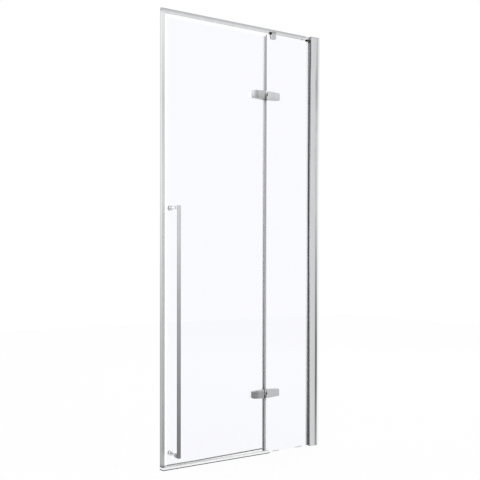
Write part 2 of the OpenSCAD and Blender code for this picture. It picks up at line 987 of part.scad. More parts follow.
module fixed_knuckle_caps() {
    color("silver")
        both_hinges()
            translate([0, 0, -leaf_h / 2])
                cylinder(h = cap_disc_t, r = knuckle_r);
}
module door_knuckle_caps() {
    color("silver")
        both_hinges()
            translate([0, 0, barrel_h / 2])
                cylinder(h = cap_disc_t, r = knuckle_r);
}

// Spindle: round in the bush, six-sided where the door knuckle rides up on it
module spindle() {
    translate([0, 0, -barrel_h / 2 + touch])
        cylinder(h = cam_high + barrel_h / 2 - touch, r = spindle_r);
    translate([0, 0, cam_high - eps])
        cylinder(h = barrel_h / 2 - cam_high - spindle_end, r = drive_r(drive_flats), $fn = 6);
}
module upper_spindle() {
    color("gray")
        at_hinge(hinge_heights[1])
            spindle();
}
module lower_spindle() {
    color("gray")
        at_hinge(hinge_heights[0])
            spindle();
}

// Door pane
handle_x = door_free_edge + handle_from_edge;
handle_foot = door_foot + handle_foot_gap;
handle_top = handle_foot + handle_len;
arm_heights = [handle_foot + handle_block_h / 2, handle_top - handle_block_h / 2];

module at_arms() {
    for (z = arm_heights)
        translate([handle_x, 0, z])
            children();
}

module door_glass() {
    color("lightcyan", 0.4)
        difference() {
            box(door_free_edge, door_edge, -half_glass, half_glass, door_foot, door_top);
            for (z = hinge_heights)
                fixings(z, -1)
                    cone_y(-half_glass - eps, half_glass + eps, fixing_hole_r, fixing_mouth_r);
            at_arms()
                rod_y(-half_glass - cut, half_glass + cut, handle_hole_r);
        }
}

// Door seals
seal_in = half_glass + seal_fit;
seal_out = seal_in + seal_t;
seal_foot = door_foot - drip_foot_h;

module closing_seal() {
    color("white", 0.7)
        along_z(seal_foot, door_top)
            difference() {
                area(seal_face, door_free_edge + seal_leg, -seal_out, seal_out);
                area(door_free_edge - seal_fit, door_free_edge + seal_leg + cut, -seal_in, seal_in);
                area(seal_face + magnet_skin - touch, seal_face + magnet_skin + magnet_t + touch,
                    -magnet_half - touch, magnet_half + touch);
            }
}

module door_magnet() {
    color("dimgray")
        along_z(seal_foot + magnet_end, door_top - magnet_end)
            area(seal_face + magnet_skin, seal_face + magnet_skin + magnet_t,
                -magnet_half, magnet_half);
}

// The hinge seal sits on the edge of the door pane and fills the gap beside the fixed pane
hinge_seal_end = fixed_edge - near;
module hinge_seal() {
    color("lightgray", 0.8)
        along_z(seal_foot, door_top)
            difference() {
                union() {
                    area(door_edge - hinge_seal_leg, hinge_seal_end, seal_in, seal_out);
                    area(door_edge + seal_fit, hinge_seal_end, -half_glass, seal_in + eps);
                }
                area(door_edge + (hinge_seal_end - door_edge) / 2, hinge_seal_end - seal_t,
                    -half_glass + seal_t, half_glass - seal_t / 2);
            }
}

// The drip seal grips the lower edge of the pane; its lip ends just over the threshold
drip_lip_z = threshold_h + near;
drip_lip_in = 2.2;
module drip_seal() {
    color("gray")
        along_x(door_free_edge + seal_leg + near, door_edge - hinge_seal_leg - near)
            union() {
                difference() {
                    area(-seal_out, seal_out, seal_foot, door_foot + seal_leg);
                    area(-seal_in, seal_in, door_foot - seal_fit, door_foot + seal_leg + cut);
                    area(-seal_out + seal_t, seal_out - seal_t,
                        seal_foot + seal_t, door_foot - seal_fit - seal_t);
                }
                polygon([
                    [drip_lip_in, drip_lip_z],
                    [drip_lip_in + seal_t, drip_lip_z],
                    [seal_t, seal_foot + seal_t / 2],
                    [0, seal_foot + seal_t / 2]
                ]);
            }
}

// Handle
bar_y = -handle_out;
bar_back = bar_y + handle_side / 2;
block_end = bar_back + handle_block_len;
washer_out = -half_glass - washer_t;
rosette_out = washer_out - rosette_t;
handle_edge_r = 1;
rim_chamfer = 2;
washer_inset = 0.5;
bolt_bore_depth = 8;

module handle_bar() {
    color("silver")
        translate([handle_x, bar_y, 0])
            along_z(handle_foot, handle_top)
                round_area(handle_side, handle_side, handle_edge_r);
}

module handle_arms() {
    color("silver")
        at_arms()
            difference() {
                union() {
                    along_y(bar_back, block_end)
                        round_area(handle_side, handle_block_h, handle_edge_r);
                    rod_y(block_end - eps, rosette_out, handle_neck_r);
                }
                rod_y(block_end - bolt_bore_depth, rosette_out + cut, bolt_r + touch);
            }
}

module handle_rosettes() {
    color("silver")
        at_arms()
            translate([0, washer_out, 0])
                rotate([90, 0, 0])
                    rotate_extrude()
                        difference() {
                            area(0, rosette_r, 0, rosette_t);
                            area(0, bolt_r + touch, -cut, rosette_t + cut);
                            translate([rosette_r, rosette_t])
                                rotate(45)
                                    square(rim_chamfer, center = true);
                        }
}

module handle_washers() {
    color("white", 0.6)
        at_arms()
            for (y = [washer_out, half_glass])
                difference() {
                    rod_y(y, y + washer_t, rosette_r - washer_inset);
                    rod_y(y - cut, y + washer_t + cut, bolt_r + touch);
                }
}

bolt_head_r = 6;
bolt_head_t = 3;
module handle_bolts() {
    color("gray")
        at_arms() {
            rod_y(block_end - bolt_bore_depth + cut, half_glass + washer_t + eps, bolt_r);
            rod_y(half_glass + washer_t, half_glass + washer_t + bolt_head_t, bolt_head_r);
        }
}

module handle_caps() {
    color("silver")
        at_arms()
            translate([0, half_glass + washer_t, 0])
                rotate([-90, 0, 0])
                    rotate_extrude()
                        difference() {
                            area(0, rosette_r, 0, cap_t);
                            area(0, bolt_head_r + near, -cut, bolt_head_t + near);
                            translate([rosette_r, cap_t])
                                rotate(45)
                                    square(rim_chamfer, center = true);
                        }
}

wall_profile();
glass_profile();
profile_top_cap();
profile_lock_screws();
fixed_glass();
glazing_strips();
setting_blocks();
header_bar();
header_wall_bracket();
header_bracket_screw();
header_connector();
header_connector_screw();
connector_pad();
header_clamp();
header_clamp_lining();
header_clamp_screw();
header_clamp_grubs();
closing_profile();
strike_seal();
strike_magnet();
threshold();
threshold_end_cap();
threshold_wall_cap();
upper_fixed_leaf();
lower_fixed_leaf();
fixed_leaf_gaskets();
fixed_leaf_sleeves();
fixed_leaf_plugs();
pivot_bushes();
fixed_cams();
fixed_knuckle_caps();
upper_spindle();
lower_spindle();
door_glass();
upper_door_leaf();
lower_door_leaf();
door_leaf_gaskets();
door_leaf_sleeves();
door_leaf_plugs();
door_cams();
door_knuckle_caps();
closing_seal();
door_magnet();
hinge_seal();
drip_seal();
handle_bar();
handle_arms();
handle_rosettes();
handle_washers();
handle_bolts();
handle_caps();
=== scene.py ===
import json
import math
import bpy
import bmesh
from mathutils import Matrix, Vector

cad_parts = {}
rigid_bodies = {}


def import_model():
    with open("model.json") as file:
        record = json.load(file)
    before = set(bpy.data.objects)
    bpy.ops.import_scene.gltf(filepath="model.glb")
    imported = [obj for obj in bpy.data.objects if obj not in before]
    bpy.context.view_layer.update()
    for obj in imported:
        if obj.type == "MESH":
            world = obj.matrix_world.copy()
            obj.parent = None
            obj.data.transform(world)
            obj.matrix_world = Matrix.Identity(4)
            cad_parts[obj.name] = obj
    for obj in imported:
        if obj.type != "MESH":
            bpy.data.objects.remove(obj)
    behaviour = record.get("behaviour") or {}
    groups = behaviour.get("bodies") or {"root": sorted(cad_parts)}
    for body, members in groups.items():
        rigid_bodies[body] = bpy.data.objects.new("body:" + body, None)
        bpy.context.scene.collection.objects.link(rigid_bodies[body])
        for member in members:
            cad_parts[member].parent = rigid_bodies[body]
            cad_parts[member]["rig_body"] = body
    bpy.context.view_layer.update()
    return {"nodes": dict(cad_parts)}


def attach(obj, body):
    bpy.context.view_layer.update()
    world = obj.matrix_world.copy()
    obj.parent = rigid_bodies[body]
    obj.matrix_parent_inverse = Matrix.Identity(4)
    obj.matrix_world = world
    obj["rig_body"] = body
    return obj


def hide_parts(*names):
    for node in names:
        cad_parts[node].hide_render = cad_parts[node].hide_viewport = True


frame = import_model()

nodes = frame["nodes"]
facingBlend = (0.4, 0.75)  # how squarely a face has to look one way to take that side's tone


class Wire:
    # one output socket, so that shader maths can be written as an expression
    def __init__(self, graph, socket):
        self.graph = graph
        self.socket = socket

    def combine(self, operation, first, second):
        return self.graph.add("ShaderNodeMath", {"operation": operation}, {0: first, 1: second})

    def __add__(self, other):
        return self.combine("ADD", self, other)

    def __sub__(self, other):
        return self.combine("SUBTRACT", self, other)

    def __rsub__(self, other):
        return self.combine("SUBTRACT", other, self)

    def __mul__(self, other):
        return self.combine("MULTIPLY", self, other)


class Graph:
    def __init__(self, tree):
        self.tree = tree
        tree.nodes.clear()

    def add(self, kind, settings=None, sockets=None, output=0):
        shaderNode = self.tree.nodes.new(kind)
        for key, value in (settings or {}).items():
            if key == "stops":
                self.setStops(shaderNode.color_ramp, value)
            else:
                setattr(shaderNode, key, value)
        for key, value in (sockets or {}).items():
            if isinstance(value, Wire):
                self.tree.links.new(value.socket, shaderNode.inputs[key])
            else:
                shaderNode.inputs[key].default_value = value
        return Wire(self, shaderNode.outputs[output]) if len(shaderNode.outputs) else shaderNode

    def setStops(self, ramp, stops):
        ramp.elements.remove(ramp.elements[1])
        ramp.elements[0].position = stops[0][0]
        ramp.elements[0].color = (stops[0][1],) * 3 + (1,)
        for place, grey in stops[1:]:
            ramp.elements.new(place).color = (grey, grey, grey, 1)

    def blendColour(self, factor, first, second):
        return self.add("ShaderNodeMix", {"data_type": "RGBA"},
                        {0: factor, 6: first, 7: second}, output=2)

    def shadeColour(self, colour, shade):
        return self.add("ShaderNodeMix", {"data_type": "RGBA", "blend_type": "MULTIPLY"},
                        {0: 1.0, 6: colour, 7: shade}, output=2)

    def place(self, scale):
        here = self.add("ShaderNodeTexCoord", output=3)
        return self.add("ShaderNodeMapping", None, {"Vector": here, "Scale": scale})

    def noise(self, scale, stretch=(1, 1, 1), detail=3.0):
        return self.add("ShaderNodeTexNoise", None,
                        {"Vector": self.place(stretch), "Scale": scale, "Detail": detail})

    def remap(self, value, low, high, fromLow=0.3, fromHigh=0.7):
        return self.add("ShaderNodeMapRange", None,
                        {0: value, 1: fromLow, 2: fromHigh, 3: low, 4: high})

    def along(self, direction):
        # distance from the origin in metres; 0 is along the opening, 1 inwards, 2 up
        here = self.add("ShaderNodeTexCoord", output=3)
        return self.add("ShaderNodeSeparateXYZ", None, {0: here}, output=direction)

    def past(self, direction, span):
        # 0 before this stretch, 1 beyond it
        return self.remap(self.along(direction), 0.0, 1.0, *span)

    def before(self, direction, span):
        # 1 before this stretch, 0 beyond it
        return self.remap(self.along(direction), 1.0, 0.0, *span)

    def facing(self, direction):
        side = self.add("ShaderNodeTexCoord", output=1)
        return self.add("ShaderNodeSeparateXYZ", None, {0: side}, output=direction)

    def faces(self, direction, sign):
        # 1 on the faces that look that way, 0 on the others
        return self.remap(self.facing(direction) * sign, 0.0, 1.0, *facingBlend)

    def tones(self, direction, stops, offset=0.0):
        # greys by distance in metres, moved along by the offset
        low, high = stops[0][0], stops[-1][0]
        share = self.remap(self.along(direction) - offset, 0.0, 1.0, low, high)
        placed = [((place - low) / (high - low), grey) for place, grey in stops]
        return self.add("ShaderNodeValToRGB", {"stops": placed}, {0: share})

    def choose(self, mask, inside, outside):
        return mask * inside + (1 - mask) * outside

    def bump(self, height, strength, distance):
        return self.add("ShaderNodeBump", None,
                        {"Strength": strength, "Distance": distance, "Height": height})

    def surface(self, sockets):
        shader = self.add("ShaderNodeBsdfPrincipled", None, sockets)
        self.add("ShaderNodeOutputMaterial", None, {"Surface": shader})


def newMaterial(name):
    material = bpy.data.materials.new(name)
    material.use_nodes = True
    return material, Graph(material.node_tree)


chrome = {
    "bright": (0.97, 0.975, 0.99, 1),
    "wiped": (0.90, 0.905, 0.925, 1),
    "smooth": 0.045,
    "dull": 0.11,
    "wipeScale": 38.0,
    "wipeStretch": (1, 1, 0.35),
    "speckScale": 420.0,
    "speckShare": 0.2,
    "bumpStrength": 0.05,
    "bumpDepth": 0.0002,
}


def chromeFinish(name, toneOf):
    # plated castings; toneOf paints the light and dark that they would mirror in a studio
    material, g = newMaterial(name)
    wipes = g.noise(chrome["wipeScale"], stretch=chrome["wipeStretch"], detail=4.0)
    specks = g.noise(chrome["speckScale"], detail=2.0)
    plate = g.blendColour(g.remap(wipes, 0.0, 1.0), chrome["bright"], chrome["wiped"])
    wear = wipes * (1 - chrome["speckShare"]) + specks * chrome["speckShare"]
    g.surface({
        "Base Color": g.shadeColour(plate, toneOf(g)),
        "Metallic": 1.0,
        "Roughness": g.remap(wear, chrome["smooth"], chrome["dull"]),
        "Normal": g.bump(specks, chrome["bumpStrength"], chrome["bumpDepth"]),
    })
    return material


# The ramps below hold (place in metres, grey) pairs, set to stand in for a studio's
# reflections. A pair of places is a short blend from one tone to the next.

header = {
    "front": [(1.980, 0.80), (1.9875, 0.70), (1.9915, 0.56), (2.000, 0.50)],
    "besideClamp": [(0.1385, 0.0), (0.1395, 1.0), (0.1535, 1.0), (0.1545, 0.0)],
    "besideClampTop": (1.9862, 1.9876),
    "shade": 0.06,
}


def headerTone(g):
    # painted shade on the header beside the clamp's sloping corner, over a painted reflection on its
    # front that is lighter below and darker above
    nearClamp = g.tones(0, header["besideClamp"]) * g.before(2, header["besideClampTop"])
    return g.choose(nearClamp, header["shade"], g.tones(2, header["front"]))


connector = {
    "front": [(1.980, 0.80), (2.000, 0.68)],
    "shadeFrom": (0.3680, 0.3700),
    "shadeTop": (1.9838, 1.9852),
    "shade": 0.06,
}


def connectorTone(g):
    # painted shade on the metal over the black pad in the arch, over a painted reflection on the
    # front that is lighter below
    overPad = g.past(0, connector["shadeFrom"]) * g.before(2, connector["shadeTop"])
    return g.choose(overPad, connector["shade"], g.tones(2, connector["front"]))


pad = {
    "from": (0.3690, 0.3710),
    "tone": [(1.972, 0.95), (1.9785, 0.95), (1.9795, 0.03), (1.986, 0.03)],
    "cover": [(1.972, 0.05), (1.9785, 0.05), (1.9795, 1.0), (1.986, 1.0)],
}


# painted shade: black in the arch, pale below
def padShadeTone(g):
    return g.tones(2, pad["tone"])


def padAlpha(g):
    # painted shade: the pad is black in the arch, where the gap under the header lies in shadow, and
    # clear as glass below it
    return g.tones(2, pad["cover"]) * g.past(0, pad["from"])


clamp = {
    "front": [(1.957, 0.58), (1.978, 0.56), (1.981, 0.50), (1.984, 0.34), (1.988, 0.38),
              (1.991, 0.50)],
    "side": [(1.957, 0.72), (1.9735, 0.66), (1.9765, 0.10), (1.981, 0.08)],
    "slopeTo": (0.1530, 0.1565),
    "slopeFrom": (1.976, 1.979),
    "slopeShade": 0.06,
}


# painted shade on the clamp's upper corner by its sloping cheek and along the top of its side face
# under the header; the front carries painted reflection bands
def clampTone(g):
    slopeShade = g.before(0, clamp["slopeTo"]) * g.past(2, clamp["slopeFrom"])
    front = g.choose(slopeShade, clamp["slopeShade"], g.tones(2, clamp["front"]))
    return g.choose(g.faces(0, -1), g.tones(2, clamp["side"]), front)


# painted light and shade on the hinge leaves: painted shade in the seam around the knuckle, painted
# reflections and highlights along and up the leaves, a set tone on the tops and painted shade on the
# undersides
hinges = {
    "upperDoorLeaf": [(0.040, 0.56), (0.055, 0.34), (0.064, 0.33), (0.070, 0.42), (0.1045, 0.39),
                      (0.1085, 0.22), (0.117, 1.00), (0.1205, 1.00)],
    "upperDoorLeafUp": [(1.662, 0.78), (1.673, 0.82), (1.683, 0.92), (1.694, 1.0), (1.704, 1.0)],
    "upperDoorLeafHighlight": 1.34,
    "lowerDoorLeaf": [(0.040, 0.24), (0.058, 0.25), (0.078, 0.38), (0.1015, 0.36), (0.1045, 0.08),
                      (0.1085, 0.16), (0.117, 1.00), (0.1205, 1.00)],
    "lowerDoorLeafUp": [(0.262, 1.0), (0.293, 1.0), (0.297, 1.25), (0.304, 1.5)],
    "fixedLeaf": [(0.1035, 0.06), (0.1085, 0.08), (0.116, 0.38), (0.1195, 0.60), (0.1207, 1.00),
                  (0.1217, 1.00), (0.1225, 0.67), (0.192, 0.66)],
    "fixedLeafUp": [(1.662, 0.82), (1.668, 0.86), (1.683, 0.98), (1.704, 1.0)],
    "top": 0.55,
    "underside": 0.30,
    "inside": 0.80,
}


def upperDoorLeafTone(g):
    tone = g.tones(0, hinges["upperDoorLeaf"]) * g.tones(2, hinges["upperDoorLeafUp"])
    outside = g.choose(g.faces(2, -1), hinges["underside"], tone * hinges["upperDoorLeafHighlight"])
    return g.choose(g.faces(1, 1), hinges["inside"], outside)


def lowerDoorLeafTone(g):
    tone = g.tones(0, hinges["lowerDoorLeaf"]) * g.tones(2, hinges["lowerDoorLeafUp"])
    outside = g.choose(g.faces(2, 1), hinges["top"], tone)
    return g.choose(g.faces(1, 1), hinges["inside"], outside)


def fixedLeafTone(g):
    tone = g.tones(0, hinges["fixedLeaf"]) * g.tones(2, hinges["fixedLeafUp"])
    outside = g.choose(g.faces(2, -1), hinges["underside"], tone)
    return g.choose(g.faces(1, 1), hinges["inside"], outside)


# painted reflections on the handle: bar and arms darker low and lighter upward, rosettes a little
# darker upward, and a painted highlight on the bar's side face
handle = {
    "bar": [(0.05, 0.20), (0.39, 0.29), (0.74, 0.43), (0.98, 0.59), (1.15, 0.64)],
    "arms": [(0.05, 0.50), (0.20, 0.52), (1.00, 0.86), (1.15, 0.88)],
    "rosettes": [(0.05, 0.80), (1.15, 0.70)],
    "barSideHighlight": 1.12,
    "rosettesFrom": (-0.011, -0.0095),
}


def barTone(g):
    tone = g.tones(2, handle["bar"])
    return g.choose(g.faces(0, -1), tone * handle["barSideHighlight"], tone)


def handleFixingTone(g):
    nearPane = g.past(1, handle["rosettesFrom"])
    return g.choose(nearPane, g.tones(2, handle["rosettes"]), g.tones(2, handle["arms"]))


aluminium = {
    "bright": (0.97, 0.975, 0.985, 1),
    "streak": (0.89, 0.895, 0.91, 1),
    "smooth": 0.12,
    "dull": 0.22,
    "metal": 1.0,
    "lineScale": 900.0,
    "lineShare": 0.6,
    "cloudScale": 6.0,
    "bumpStrength": 0.06,
    "bumpDepth": 0.0001,
}


def aluminiumFinish(name, stretch, toneOf, piece=aluminium):
    # extrusions carry fine die lines along their length; toneOf paints the light and shade that they
    # would show in a studio
    material, g = newMaterial(name)
    lines = g.noise(aluminium["lineScale"], stretch=stretch, detail=2.0)
    clouds = g.noise(aluminium["cloudScale"], detail=3.0)
    mixed = lines * aluminium["lineShare"] + clouds * (1 - aluminium["lineShare"])
    streaks = g.remap(mixed, 0.0, 1.0)
    skin = g.blendColour(streaks, aluminium["bright"], aluminium["streak"])
    g.surface({
        "Base Color": g.shadeColour(skin, toneOf(g)),
        "Metallic": piece.get("metal", aluminium["metal"]),
        "Roughness": g.remap(streaks, piece["smooth"], piece["dull"], 0.0, 1.0),
        "Normal": g.bump(lines, aluminium["bumpStrength"], aluminium["bumpDepth"]),
    })
    return material


# painted shade at the foot of the closing profile and painted reflections up its side, front and lip,
# mostly lighter upward; the side is lighter towards its front edge
closingProfile = {
    "side": [(0.012, 0.10), (0.018, 0.20), (0.021, 0.53), (0.52, 0.61), (1.17, 0.96), (1.98, 0.98)],
    "sideDeep": [(-0.009, 1.0), (-0.004, 0.92), (0.004, 0.81), (0.009, 0.79)],
    "front": [(0.012, 0.10), (0.018, 0.20), (0.021, 0.50), (0.30, 0.67), (0.52, 0.71), (1.17, 0.73),
              (1.60, 0.65), (1.98, 0.87)],
    "lip": [(0.012, 0.20), (0.021, 0.76), (0.90, 0.76), (1.20, 0.64), (1.98, 0.78)],
    "lipFrom": (-0.4298, -0.4292),
    "smooth": 0.34,
    "dull": 0.42,
}


def closingTone(g):
    side = g.tones(2, closingProfile["side"]) * g.tones(1, closingProfile["sideDeep"])
    lip = g.past(0, closingProfile["lipFrom"])
    front = g.choose(lip, g.tones(2, closingProfile["lip"]), g.tones(2, closingProfile["front"]))
    return g.choose(g.faces(0, -1), side, front)


# painted light and shade on the glass profile: painted shade along the step beside the wall profile
# and in the top corner under the header, its outer side darkening towards the top, and painted
# reflections elsewhere
glassProfile = {
    "front": [(0.385, 0.70), (0.400, 0.68), (0.413, 0.66)],
    "step": [(0.02, 0.45), (0.17, 0.31), (0.74, 0.44), (1.17, 0.70), (1.78, 0.48), (1.85, 0.62),
             (1.98, 0.60)],
    "stepFrom": (0.4150, 0.4162),
    "outerSide": [(0.02, 0.25), (0.74, 0.54), (0.95, 0.72), (1.17, 0.60), (1.38, 0.48),
                  (1.56, 0.28), (1.85, 0.13), (2.0, 0.12)],
    "innerFrom": (-0.002, 0.002),
    "innerShift": (0.0, 0.0025),
    "innerShiftUp": (1.10, 1.55),
    "outerDepth": [(-0.0175, 1.0), (-0.0125, 0.95), (-0.0105, 0.62), (-0.003, 0.50), (-0.002, 1.0)],
    "innerSide": [(0.02, 0.46), (0.30, 0.66), (0.74, 0.92), (2.0, 0.96)],
    "outerStrip": [(0.02, 0.10), (1.38, 0.10), (1.69, 0.22), (1.95, 0.55), (2.0, 0.55)],
    "cornerTo": (0.3880, 0.3890),
    "cornerFrom": (1.80, 1.88),
    "cornerShade": 0.28,
    "innerStrip": [(0.02, 0.44), (0.74, 0.60), (1.20, 0.53), (1.70, 1.00), (2.0, 1.00)],
}


def innerHalf(g):
    # 1 on the half inside the pane; higher up the reflection reaches further out
    shift = g.remap(g.along(2), *glassProfile["innerShift"], *glassProfile["innerShiftUp"])
    return g.remap(g.along(1) + shift, 0.0, 1.0, *glassProfile["innerFrom"])


def glassProfileTone(g):
    outerSide = g.tones(2, glassProfile["outerSide"]) * g.tones(1, glassProfile["outerDepth"])
    side = g.choose(innerHalf(g), g.tones(2, glassProfile["innerSide"]), outerSide)
    step = g.past(0, glassProfile["stepFrom"])
    corner = g.before(0, glassProfile["cornerTo"]) * g.past(2, glassProfile["cornerFrom"])
    plain = g.choose(corner, glassProfile["cornerShade"], g.tones(0, glassProfile["front"]))
    front = g.choose(step, g.tones(2, glassProfile["step"]), plain)
    return g.choose(g.faces(0, -1), side, front)


# painted light and shade on the glazing strips: the outer strip dark up most of its height and
# lighter near the top, the inner strip lighter upward
def glazingTone(g):
    innerStrip = g.tones(2, glassProfile["innerStrip"])
    return g.choose(innerHalf(g), innerStrip, g.tones(2, glassProfile["outerStrip"]))


# painted reflections on the wall profile's front, lighter away from its edge and darker upward, and
# painted shade along its edge by the glass profile
wallProfile = {
    "front": [(0.420, 0.66), (0.425, 0.70), (0.429, 0.86), (0.433, 1.0), (0.440, 1.0)],
    "up": [(0.0, 1.0), (1.2, 1.0), (1.45, 0.96), (1.7, 0.88), (2.0, 0.78)],
    "edge": [(0.02, 0.45), (0.30, 0.23), (0.52, 0.23), (1.17, 0.66), (1.50, 0.64), (1.76, 0.37),
             (2.0, 0.50)],
    "edgeTo": (0.4272, 0.4290),
}


def wallProfileTone(g):
    front = g.tones(0, wallProfile["front"]) * g.tones(2, wallProfile["up"])
    return g.choose(g.past(0, wallProfile["edgeTo"]), front, g.tones(2, wallProfile["edge"]))


# painted shade in the groove at the threshold's foot, and painted light that brightens the whole
# piece and its end caps
threshold = {
    "body": [(0.0, 0.03), (0.0040, 0.03), (0.0046, 0.95), (0.012, 0.98)],
    "lift": 1.12,
    "smooth": 0.40,
    "dull": 0.50,
    "metal": 0.35,
}


def thresholdTone(g):
    return g.tones(2, threshold["body"]) * threshold["lift"]


steel = {
    "dark": (0.50, 0.50, 0.51, 1),
    "light": (0.62, 0.62, 0.63, 1),
    "smooth": 0.22,
    "dull": 0.38,
    "grainScale": 700.0,
    "grainStretch": (1, 1, 0.2),
    "bumpStrength": 0.1,
    "bumpDepth": 0.0001,
}


def steelFinish():
    material, g = newMaterial("stainlessSteel")
    grain = g.noise(steel["grainScale"], stretch=steel["grainStretch"])
    g.surface({
        "Base Color": g.blendColour(grain, steel["dark"], steel["light"]),
        "Metallic": 1.0,
        "Roughness": g.remap(grain, steel["smooth"], steel["dull"]),
        "Normal": g.bump(grain, steel["bumpStrength"], steel["bumpDepth"]),
    })
    return material


pane = {
    "tint": (0.955, 0.957, 0.995, 1),
    "faint": (0.961, 0.962, 0.996, 1),
    "ior": 1.45,
    "waveScale": 1.6,
    "markScale": 24.0,
    "markRoughness": 0.012,
}


def glassFinish():
    material, g = newMaterial("clearGlass")
    waves = g.noise(pane["waveScale"], detail=1.0)
    marks = g.noise(pane["markScale"])
    g.surface({
        "Base Color": g.blendColour(waves, pane["tint"], pane["faint"]),
        "Roughness": g.remap(marks, 0.0, pane["markRoughness"]),
        "IOR": pane["ior"],
        "Transmission Weight": 1.0,
    })
    return material


patchShade = 0.9  # of the cloudy patches in rubbers and plastics


def darker(colour):
    return tuple(patchShade * c for c in colour[:3]) + (1,)


soft = {
    "cloudScale": 60.0,
    "cloudStretch": (1, 1, 0.1),
    "smoother": 0.06,
    "rougher": 0.08,
    "bumpStrength": 0.08,
    "bumpDepth": 0.0002,
}


def softFinish(name, tone, roughness, toneOf=None, alphaOf=None, alpha=1.0, glow=0.0):
    # flexible extrusions: slightly cloudy, with fine draw lines along their length; toneOf paints
    # greys on them by place, and glow is painted light, an emission standing in for the light that
    # passes through them
    material, g = newMaterial(name)
    cloud = g.noise(soft["cloudScale"], stretch=soft["cloudStretch"])
    colour = g.blendColour(g.remap(cloud, 0.0, 1.0), tone, darker(tone))
    shaded = g.shadeColour(colour, toneOf(g)) if toneOf else colour
    g.surface({
        "Base Color": shaded,
        "Emission Color": shaded,
        "Emission Strength": glow,
        "Roughness": g.remap(cloud, roughness - soft["smoother"], roughness + soft["rougher"]),
        "Alpha": alphaOf(g) if alphaOf else alpha,
        "Normal": g.bump(cloud, soft["bumpStrength"], soft["bumpDepth"]),
    })
    return material


# painted shade of the seam between the hinge leaves, which lies further along at the head than at the
# foot
hingeSeal = {  # one look at the foot, another at the head, and a blend between
    "foot": [(0.1075, 0.50), (0.1105, 0.15), (0.1150, 0.14), (0.1175, 0.30), (0.1215, 0.62),
             (0.1267, 0.80)],
    "head": [(0.1075, 0.80), (0.1125, 0.66), (0.1177, 0.58), (0.1210, 0.54), (0.1235, 0.17),
             (0.1267, 0.14)],
    "footCover": [(0.1075, 0.10), (0.1092, 0.10), (0.1102, 0.95), (0.1200, 0.95), (0.1267, 0.60)],
    "headCover": [(0.1075, 0.08), (0.1125, 0.08), (0.1145, 0.80), (0.1267, 0.95)],
    "rise": (0.2, 1.9),
}


def hingeSealTone(g):
    rise = g.past(2, hingeSeal["rise"])
    return g.choose(rise, g.tones(0, hingeSeal["head"]), g.tones(0, hingeSeal["foot"]))


def hingeSealAlpha(g):
    rise = g.past(2, hingeSeal["rise"])
    return g.choose(rise, g.tones(0, hingeSeal["headCover"]), g.tones(0, hingeSeal["footCover"]))


# the glow below is painted light, an emission standing in for the light that passes through the clear
# seals
clearSeals = {  # clear, but for a dark line at the foot and the web before the pane's free edge
    "foot": [(0.012, 0.85), (0.0150, 0.85), (0.0156, 0.10), (0.0184, 0.10), (0.0190, 1.0),
             (0.027, 1.0)],
    "footCover": [(0.012, 0.06), (0.0150, 0.06), (0.0156, 0.95), (0.0182, 0.95), (0.0188, 0.03),
                  (0.027, 0.03)],
    "climb": (0.0, 0.0050),
    "climbSpan": (-0.25, 0.11),
    "webTo": (-0.4138, -0.4134),
    "webFrom": (0.0182, 0.0188),
    "webCover": 0.90,
    "glow": 0.36,
}


def footClimb(g):
    # the dark line under the door climbs a little towards the hinge
    return g.remap(g.along(0), *clearSeals["climb"], *clearSeals["climbSpan"])


def clearSealTone(g):
    return g.tones(2, clearSeals["foot"], footClimb(g))


def clearSealAlpha(g):
    web = g.before(0, clearSeals["webTo"]) * g.past(2, clearSeals["webFrom"])
    foot = g.tones(2, clearSeals["footCover"], footClimb(g))
    return g.choose(web, clearSeals["webCover"], foot)


moulded = {
    "poreScale": 1500.0,
    "patchScale": 30.0,
    "smoother": 0.05,
    "rougher": 0.1,
    "bumpStrength": 0.15,
    "bumpDepth": 0.0001,
}


def mouldedFinish(name, tone, roughness):
    material, g = newMaterial(name)
    pores = g.noise(moulded["poreScale"], detail=2.0)
    patches = g.noise(moulded["patchScale"], detail=2.0)
    g.surface({
        "Base Color": g.blendColour(g.remap(patches, 0.0, 1.0), tone, darker(tone)),
        "Roughness": g.remap(pores, roughness - moulded["smoother"], roughness + moulded["rougher"]),
        "Normal": g.bump(pores, moulded["bumpStrength"], moulded["bumpDepth"]),
    })
    return material


